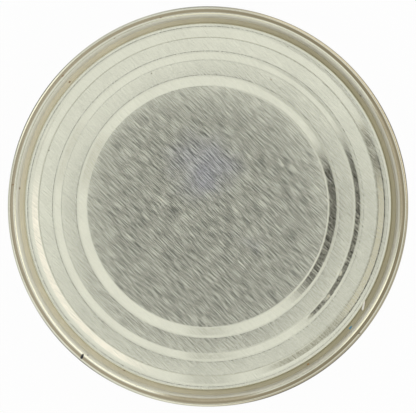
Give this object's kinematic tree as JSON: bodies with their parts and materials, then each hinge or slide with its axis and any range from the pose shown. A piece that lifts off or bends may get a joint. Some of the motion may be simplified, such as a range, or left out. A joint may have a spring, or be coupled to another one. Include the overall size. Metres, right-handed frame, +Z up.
{
  "type": "shut tin can",
  "caption": "Round bare tinplate food can, shut at both ends by stepped, double-seamed ends on a beaded body, standing upright.",
  "frame": {"origin": "middle of the circle that the bottom seam stands on", "axes": "+Z up along the can's axis, from the bottom end to the top end; +X and +Y are free"},
  "size_m": [0.0762, 0.0762, 0.11],
  "materials": {
    "end_tinplate": "bare tinplate with a fine straight rolling grain, slightly warm, aged and specked in the groove",
    "body_tinplate": "bare tinplate, satin, with a welded side seam"
  },
  "bodies": {
    "root": {"top_end": "end_tinplate", "can_body": "body_tinplate", "bottom_end": "end_tinplate"}
  },
  "joints": []
}
